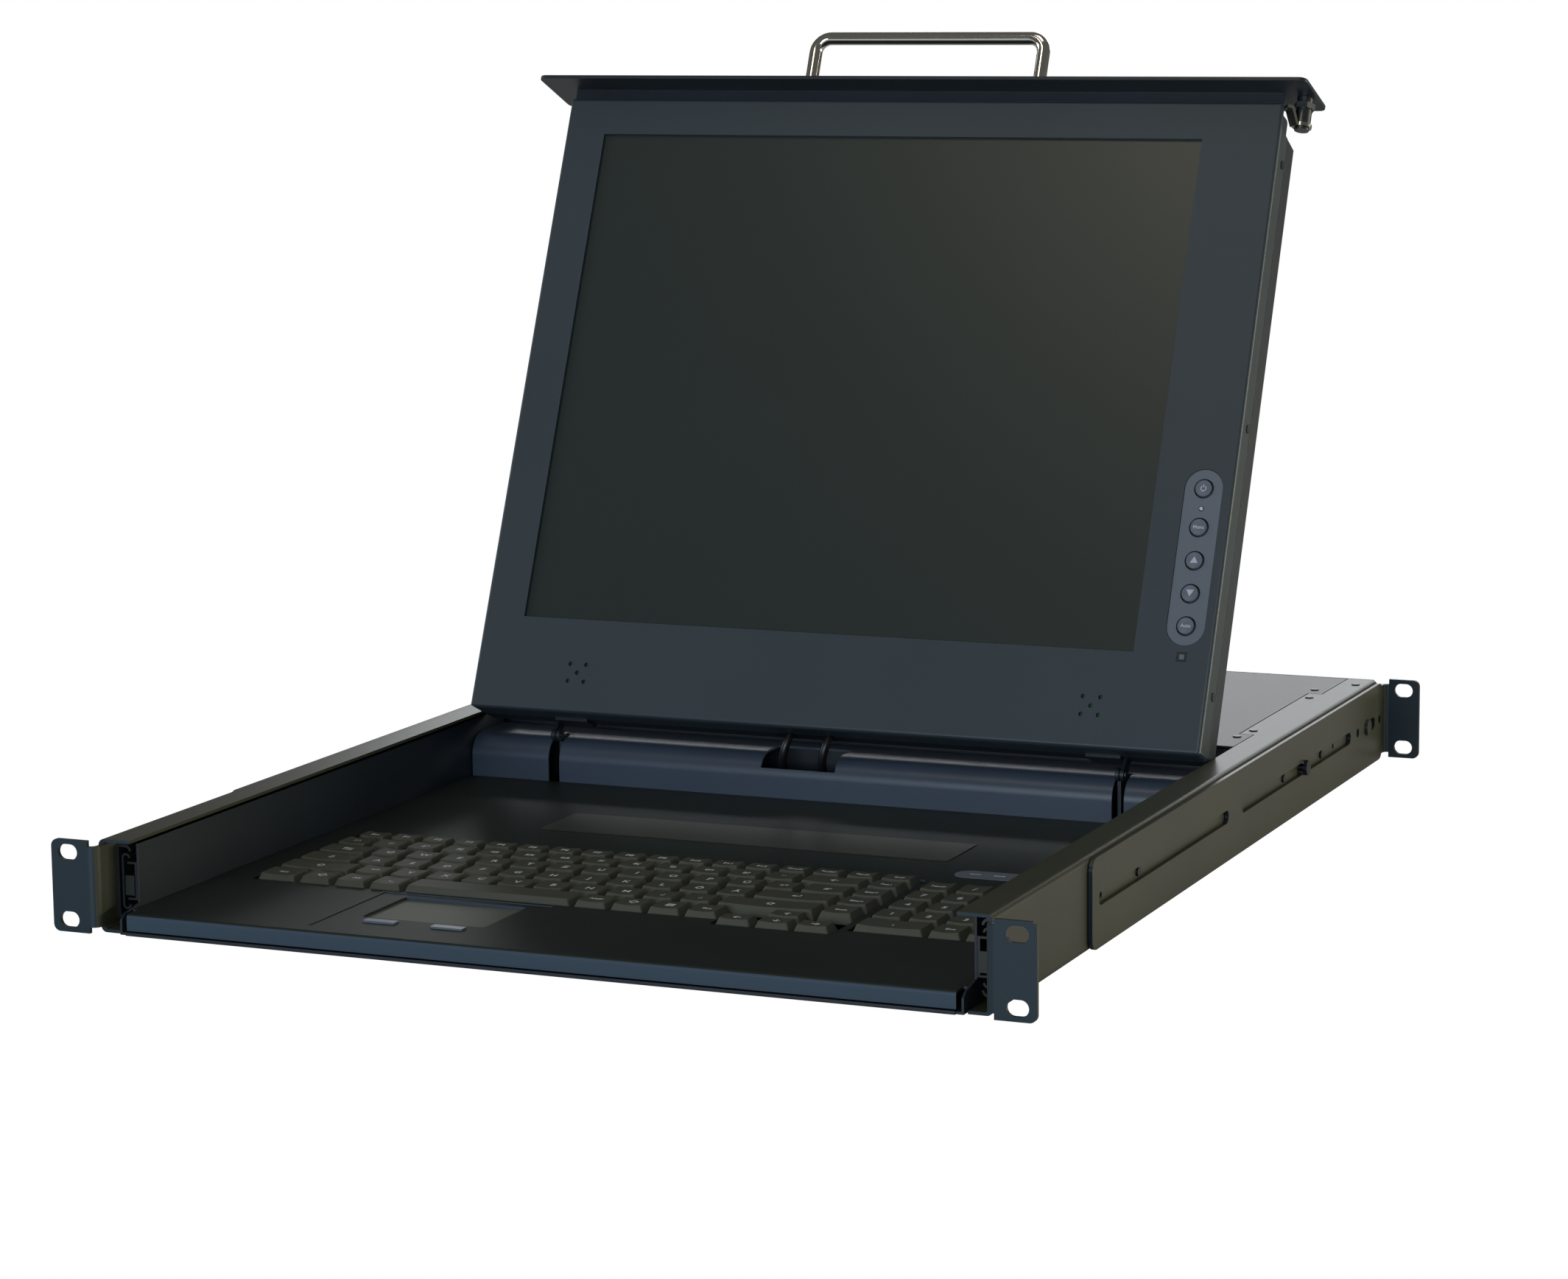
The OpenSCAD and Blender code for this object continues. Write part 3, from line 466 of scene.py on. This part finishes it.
def key_tops(node, body):
    """Puts a cap on each key of a CAD node and gives back the keys' boxes."""
    bm = bmesh.new()
    boxes = solids_of(node)
    for low, high in boxes:
        key_cap(bm, low, high, 0 if node == "space_bar" else DISH)
    cap = finish_piece(node + "_caps", bm, KEY, body, 32)
    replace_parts(cap, node)
    return boxes


KEY_GROUPS = {name: key_tops(name, name + "_body") for name in
              ("top_row_keys", "letter_keys", "modifier_keys", "space_bar", "navigation_keys", "numpad_keys")}


# Generic marks of each key group, by row, far row first, each from left to right
LEGENDS = {
    "top_row_keys": [
        "Esc F1 F2 F3 F4 F5 F6 F7 F8 F9 F10 F11 F12 Druck Rollen Pause".split(),
        "^° 1! 2\" 3§ 4$ 5% 6& 7/ 8( 9) 0= ß? ´`".split()],
    "letter_keys": ["Q W E R T Z U I O P Ü +*".split(), "A S D F G H J K L Ö Ä".split(),
                    "<> Y X C V B N M ,; .: -_".split()],
    "modifier_keys": [["←"], ["↹", "#'"], ["⇩", "↵"], ["⇧", "⇧"],
                      ["Strg", "◇", "Alt", "AltGr", "◇", "▤", "Strg"]],
    "navigation_keys": [["Entf"], ["Pos1"], ["Bild↑"], ["Bild↓"], ["Ende"], ["↑"], ["←", "↓", "→"]],
    "numpad_keys": [["Num", "/", "×", "−"], ["7", "8", "9", "+"], ["4", "5", "6"], ["1", "2", "3"],
                    ["0", ",", "Ent"]],
}


def rows_of(boxes):
    """Key boxes by row, far row first, each from left to right."""
    rows = []
    for box in sorted(boxes, key=lambda b: -(b[0][1] + b[1][1])):
        middle = (box[0][1] + box[1][1]) / 2
        if rows and abs(rows[-1][0] - middle) < SAME_ROW:
            rows[-1][1].append(box)
        else:
            rows.append((middle, [box]))
    return [sorted(row, key=lambda b: b[0][0]) for middle, row in rows]


# Letter height by length of the mark, in millimetres, and width of a letter as a share of its height
MARK_SIZE = {1: 5.4, 2: 4.4, 3: 3.6}
SMALLEST_MARK = 3.0
LETTER_WIDTH = 0.62


def print_legends(node):
    """Printed marks that follow the hollow of each key top. A mark is narrowed where it would be too wide."""
    bm = bmesh.new()
    marks = [mark for row in LEGENDS[node] for mark in row]
    keys = [box for row in rows_of(KEY_GROUPS[node]) for box in row]
    for mark, (low, high) in zip(marks, keys):
        cx, cy = (low[0] + high[0]) / 2, (low[1] + high[1]) / 2
        half = (high[0] - low[0]) / 2 - TOP_INSET
        size = MARK_SIZE.get(len(mark), SMALLEST_MARK)
        width = min(1, 2 * half / (size * LETTER_WIDTH * len(mark)))

        def on_top(x, y, h, cx=cx, half=half):
            return in_mm((x, y, KEY_TOP - dip(x, cx, half, DISH) + h))
        letters(bm, mark, cx, cy, size, on_top, -0.02, 0.05, width)
    finish_piece(node + "_legends", bm, WHITE, node + "_body", 0)


for node in LEGENDS:
    print_legends(node)


# Left end, middle and top of the lock light strip
low, high = solids_of("lock_led_strip")[0]
LOCK_STRIP = (low[0], (low[1] + high[1]) / 2, high[2])


# Controls on the screen's right edge

# In millimetres: x of the column, and the distance of each thing up the screen. The power button has a
# drawn sign instead of letters. Profiles are of (radius, height).
OSD_X = 186.8
POWER_LED_V = 126.5
SENSOR_V = 49.4
OSD_MARKS = {"power_button": (136.9, None), "menu_button": (116.6, "Menu"), "up_button": (99.3, "▲"),
             "down_button": (82.2, "▼"), "auto_button": (65.4, "Auto")}
BUTTON_PROFILE = [(0, -5.8), (4.3, -5.8), (4.3, -0.3), (4.15, -0.05), (3.6, 0), (3.2, -0.1), (2.2, -0.22),
                  (0, -0.3)]
LED_PROFILE = [(0, -0.3), (1.0, -0.3), (0.95, 0.1), (0.6, 0.32), (0, 0.4)]


def beside(place, dx, dy):
    """Moves a drawing's origin within its plane."""
    return lambda x, y, h: place(x + dx, y + dy, h)


for node, (v, mark) in OSD_MARKS.items():
    bm = bmesh.new()
    face = beside(on_screen(-0.7), OSD_X, v)
    lathe(bm, BUTTON_PROFILE, face)
    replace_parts(finish_piece(node + "_cap", bm, BUTTON, node + "_body"), node)
    bm = bmesh.new()
    if mark:
        letters(bm, mark, 0, 0, 2.6 if len(mark) > 1 else 4.2, face, -0.3, 0.18)
    else:
        ring(bm, 0, 0, 1.1, 1.6, -0.3, -0.12, face, math.radians(125), math.radians(415))
        prism(bm, rectangle(-0.25, 0.25, 0.4, 2.0), -0.3, -0.1, face)
    finish_piece(node + "_mark", bm, GREY, node + "_body", 0)

bm = bmesh.new()
for text, x in (("NUM", 10), ("CAPS", 22), ("SCR", 34)):
    letters(bm, text, LOCK_STRIP[0] + x, LOCK_STRIP[1], 2.4, level(LOCK_STRIP[2]), -0.03, 0.08)
finish_piece("lock_light_marks", bm, WHITE, "drawer", 0)

bm = bmesh.new()
lathe(bm, LED_PROFILE, beside(on_screen(0.2), OSD_X, POWER_LED_V))
finish_piece("power_led", bm, LED, "screen")

for name, half, top, colour in (("sensor_frame", 2.3, 0.04, BLACK), ("sensor_window", 1.3, 0.08, BUTTON)):
    bm = bmesh.new()
    prism(bm, rectangle(-half, half, -half, half), -0.3, top, beside(on_screen(0), OSD_X, SENSOR_V))
    finish_piece(name, bm, colour, "screen", 0)


# Cables from the hinge beam up into the screen

def tube(bm, path, r, steps=16):
    """A closed round tube along a path of points."""
    loops = []
    for i, at in enumerate(path):
        ahead = (path[min(i + 1, len(path) - 1)] - path[max(i - 1, 0)]).normalized()
        side = ahead.cross(Vector((1, 0, 0))).normalized()
        other = ahead.cross(side)
        turns = [2 * math.pi * k / steps for k in range(steps)]
        loops.append([bm.verts.new(at + r * (math.cos(t) * side + math.sin(t) * other)) for t in turns])
    for a, b in zip(loops, loops[1:]):
        for k in range(steps):
            j = (k + 1) % steps
            bm.faces.new((a[k], a[j], b[j], b[k]))
    bm.faces.new(loops[0][::-1])
    bm.faces.new(loops[-1])


# Both cables follow one arc and drift sideways along it, in millimetres
CABLE_X = (-25, -3)
CABLE_R = 2.2
DRIFT = 3
ARC_Y, ARC_Z, ARC_R = 366, 13, 12
ARC = [math.radians(a) for a in range(134, 241, 4)]

bm = bmesh.new()
for x in CABLE_X:
    path = [(x + DRIFT * math.sin(a), ARC_Y + ARC_R * math.cos(a), ARC_Z + ARC_R * math.sin(a)) for a in ARC]
    tube(bm, [in_mm(point) for point in path], CABLE_R * MM)
cables = finish_piece("jacketed_cables", bm, JACKET, None, 0)
cables.data.shade_smooth()
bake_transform(cables)
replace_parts(cables, "screen_cables")


# Rear panel: screws, sockets and generic marks

REAR_FACE = max(high[1] for low, high in solids_of("rear_panel"))
INLET_FACE = REAR_FACE + 2.2
INLET_SCREW_X, INLET_SCREW_Z = (202.2, 160.9), 2.2
SHELL_FACE = REAR_FACE + 0.8
PS2_Z = -8.05
PS2_RIM_Y, PS2_FLOOR_Y = 616.2, 608
PS2_PIN_CIRCLE = 3.1
FIRST_PORT_X, PORT_PITCH, PORT_NUMBER_Z = 31.2, 13.95, -17.9


def screw_head(bm, r, place):
    """A low domed head. The cross on it is a piece of its own, a dark raised cross that is painted shade for
    the recess.
    """
    lathe(bm, [(0, -0.3), (r, -0.3), (r, 0.5), (r * 0.8, 0.95), (0, 1.0)], place, 28)


bm = bmesh.new()
recess_shade = bmesh.new()
for x in INLET_SCREW_X:
    at = beside(on_rear(INLET_FACE), -x, INLET_SCREW_Z)
    screw_head(bm, 2.7, at)
    # Painted shade: a dark cross, raised a little over the dome, stands in for the shade inside the cross
    # recess.
    for a, b in ((1.5, 0.3), (0.3, 1.5)):
        prism(recess_shade, rectangle(-a, a, -b, b), 0.9, 1.06, at)
finish_piece("inlet_screws", bm, NICKEL, "housing")
finish_piece("inlet_screw_painted_recess_shade", recess_shade, DARK_SCREW, "housing", 0)


def d_outline(x, z, w, h):
    """The face of a D connector, seen from behind, wider at its top."""
    top, low, up = w / 2, w / 2 - 1.4, h / 2
    return [(-x - low, z - up), (-x + low, z - up), (-x + top, z + up), (-x - top, z + up)]


# Place and width of each connector's face, pins in each row, pitch along a row and between rows
for name, x, z, width, colour, counts, pitch, row in (
        ("serial_face", 99.4, 10.15, 15.2, BLACK, (5, 4), 2.77, 2.84),
        ("chain_face", 50.9, 10.15, 37.2, BLACK, (13, 12), 2.77, 2.84),
        ("screen_socket_face", 63.7, -8.55, 15.2, BLUE, (5, 5, 5), 2.29, 1.98)):
    bm = bmesh.new()
    prism(bm, d_outline(x, z, width, 6.6), -0.1, 2.6, on_rear(SHELL_FACE))
    finish_piece(name, bm, colour, "housing", 0)
    pins = bmesh.new()
    for k, count in enumerate(counts):
        for i in range(count):
            at = ((i - (count - 1) / 2) * pitch - x, z + ((len(counts) - 1) / 2 - k) * row)
            prism(pins, circle(*at, 0.5, 12), 2.5, 2.8, on_rear(SHELL_FACE))
    finish_piece(name + "_pins", pins, GOLD, "housing", 0)

for name, x, colour in (("mouse_socket_face", 116.5, GREEN), ("keyboard_socket_face", 93.7, PURPLE)):
    bm = bmesh.new()
    ring(bm, -x, PS2_Z, 4.7, 6.0, -0.1, 0.15, on_rear(PS2_RIM_Y))
    floor = on_rear(PS2_FLOOR_Y)
    prism(bm, circle(-x, PS2_Z, 4.5), -0.1, 0.3, floor)
    finish_piece(name, bm, colour, "housing")
    # Painted shade: black discs and a black bar laid on the socket floor stand in for the shade in its pin
    # holes and key hole.
    hole_shade = bmesh.new()
    for i in range(6):
        turn = math.radians(-60 + 60 * i)
        at = (-x + PS2_PIN_CIRCLE * math.cos(turn), PS2_Z + PS2_PIN_CIRCLE * math.sin(turn))
        prism(hole_shade, circle(*at, 0.55, 16), 0.25, 0.36, floor)
    prism(hole_shade, rectangle(-x - 1.1, -x + 1.1, PS2_Z - 0.7, PS2_Z + 0.7), 0.25, 0.36, floor)
    finish_piece(name + "_hole_shade", hole_shade, BLACK, "housing", 0)

bm = bmesh.new()
for i in range(8):
    x = -(FIRST_PORT_X - PORT_PITCH * i)
    letters(bm, str(i + 1), x, PORT_NUMBER_Z, 3.0, on_rear(REAR_FACE), -0.03, 0.12)
finish_piece("port_numbers", bm, WHITE, "housing", 0)


# Stage and light

FLOOR_SIZE = 14
FLOOR_Z = -0.0225
WORLD_LIGHT = 0.1
WHITE_SEEN = (1, 1, 1, 1)


def show_white(tree, usual, white, output):
    """Lets camera rays see the white shader and all other rays the usual one."""
    rays = tree.nodes.new("ShaderNodeLightPath")
    mix = tree.nodes.new("ShaderNodeMixShader")
    tree.links.new(rays.outputs["Is Camera Ray"], mix.inputs["Fac"])
    tree.links.new(usual.outputs[0], mix.inputs[1])
    tree.links.new(white.outputs[0], mix.inputs[2])
    tree.links.new(mix.outputs[0], tree.nodes[output].inputs["Surface"])


def make_floor():
    bm = bmesh.new()
    bmesh.ops.create_grid(bm, x_segments=1, y_segments=1, size=FLOOR_SIZE)
    mesh = bpy.data.meshes.new("floor")
    bm.to_mesh(mesh)
    bm.free()
    floor = bpy.data.objects.new("floor", mesh)
    floor.location.z = FLOOR_Z
    bpy.context.scene.collection.objects.link(floor)
    mat = bpy.data.materials.new("pale_floor")
    mat.use_nodes = True
    tree = mat.node_tree
    shader = tree.nodes["Principled BSDF"]
    shader.inputs["Base Color"].default_value = (0.8, 0.8, 0.8, 1)
    shader.inputs["Roughness"].default_value = 0.9
    show_white(tree, shader, node_of(tree, "ShaderNodeEmission", Strength=1.0), "Material Output")
    mesh.materials.append(mat)


def make_world():
    world = bpy.data.worlds.new("studio")
    bpy.context.scene.world = world
    world.use_nodes = True
    tree = world.node_tree
    plain = tree.nodes["Background"]
    plain.inputs["Color"].default_value = WHITE_SEEN
    plain.inputs["Strength"].default_value = WORLD_LIGHT
    white = node_of(tree, "ShaderNodeBackground", Color=WHITE_SEEN, Strength=1.0)
    show_white(tree, plain, white, "World Output")


def softbox(name, at, aim, size, power, colour):
    """A rectangular lamp that the camera does not see, in metres and watts."""
    data = bpy.data.lights.new(name, "AREA")
    data.shape = "RECTANGLE"
    data.size, data.size_y = size
    data.energy = power
    data.color = colour
    lamp = bpy.data.objects.new(name, data)
    lamp.location = at
    lamp.visible_camera = False
    lamp.rotation_mode = "QUATERNION"
    lamp.rotation_quaternion = (Vector(aim) - Vector(at)).to_track_quat("-Z", "Y")
    bpy.context.scene.collection.objects.link(lamp)


make_floor()
make_world()
softbox("front_low_box", (0.2, -2.8, 0.5), (0, 0.3, 0.05), (2.4, 0.6), 42, (0.74, 0.88, 1.0))
softbox("left_box", (-2.8, -0.4, 0.9), (0, 0.3, 0.1), (1.4, 1.0), 22, (0.82, 0.92, 1.0))
softbox("overhead_box", (0.3, 0.1, 2.8), (0, 0.3, 0), (1.4, 1.0), 7, (0.95, 0.97, 1.0))
softbox("glow_box", (-0.5, -1.6, 2.6), (0.16, 0.48, 0.32), (0.8, 0.5), 7, (1.0, 0.88, 0.66))
softbox("rear_box", (-0.7, 3.4, 0.75), (0.1, 0.5, 0), (2.2, 0.8), 15, (0.95, 0.98, 1.0))
softbox("right_box", (2.6, 1.3, 0.3), (0.22, 0.4, 0), (1.6, 0.4), 34, (1.0, 0.97, 0.76))

bpy.context.scene.view_settings.view_transform = "Standard"
